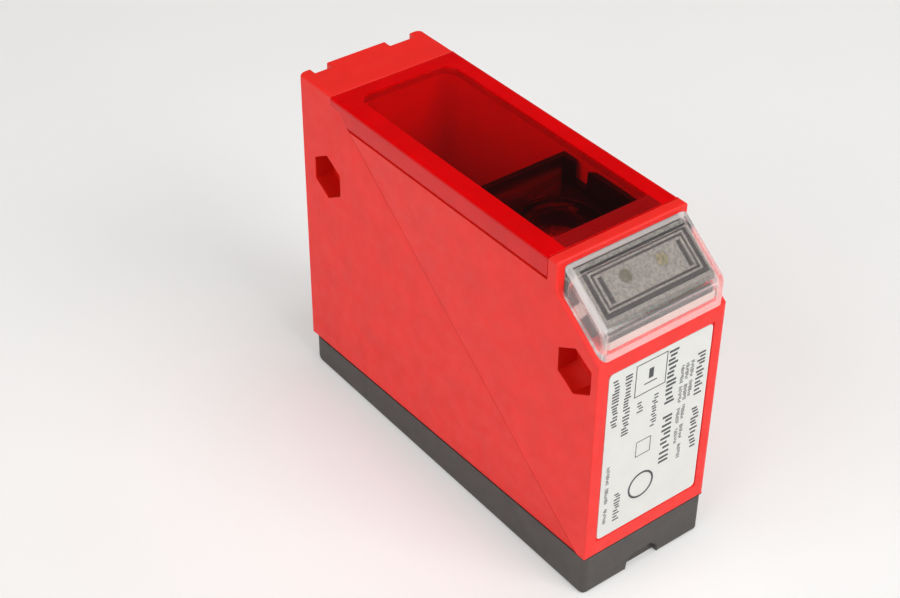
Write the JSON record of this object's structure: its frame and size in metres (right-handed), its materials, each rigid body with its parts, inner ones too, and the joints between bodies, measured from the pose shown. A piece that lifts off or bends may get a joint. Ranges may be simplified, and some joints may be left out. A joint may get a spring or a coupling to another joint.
{
  "type": "photoelectric sensor, through-beam emitter",
  "caption": "Cubic photoelectric sensor with a red window, sloped clear indicator cover, screwed rear cover, nut-pocket fixing holes and a round plug connector.",
  "frame": {"origin": "the middle of the rear face, which is the face that the sensor lies on", "axes": "+X towards the indicator and label end, +Y away from the nut pockets, +Z the way the beam leaves, out of the window"},
  "size_m": [0.102, 0.03, 0.07],
  "materials": {
    "red_housing": "moulded red plastic, finely eroded",
    "red_window": "polished red-tinted acrylic",
    "clear_cover": "clear moulded polycarbonate",
    "grey_plate": "grey moulded plastic, coarse grain",
    "circuit_board": "green solder mask",
    "lamp_green": "tinted epoxy, unlit",
    "lamp_yellow": "tinted epoxy, unlit",
    "flex_film": "polyimide film",
    "label_film": "white printed polyester film",
    "black_cover": "moulded black plastic, eroded",
    "seal_rubber": "nitrile rubber",
    "screw_steel": "zinc-plated steel",
    "black_carrier": "black moulded plastic",
    "lens_clear": "polished lens",
    "diode_tint": "blue-tinted epoxy",
    "chip_black": "moulded epoxy",
    "can_aluminium": "drawn can",
    "header_nylon": "natural nylon",
    "plated_brass": "nickel-plated brass",
    "insert_black": "black moulded polyamide",
    "gold_pins": "gold-plated",
    "lead_pvc": "PVC insulation"
  },
  "bodies": {
    "root": {"housing": "red_housing", "front_window": "red_window", "indicator_cover": "clear_cover", "indicator_plate": "grey_plate", "indicator_board": "circuit_board", "lamp_green": "lamp_green", "lamp_yellow": "lamp_yellow", "indicator_flex": "flex_film", "rating_label": "label_film", "rear_cover": "black_cover", "rear_cover_seal": "seal_rubber", "rear_cover_screws": "screw_steel", "optics_carrier": "black_carrier", "lens": "lens_clear", "lens_ring": "black_carrier", "emitter_diode": "diode_tint", "main_board": "circuit_board", "board_screws": "screw_steel", "controller_chip": "chip_black", "capacitors": "can_aluminium", "voltage_regulator": "chip_black", "surge_diode": "chip_black", "board_header": "header_nylon", "connector_shell": "plated_brass", "connector_o_ring": "seal_rubber", "connector_insert": "insert_black", "contact_pins": "gold_pins", "connector_nut": "plated_brass", "connector_leads": "lead_pvc"}
  },
  "joints": []
}
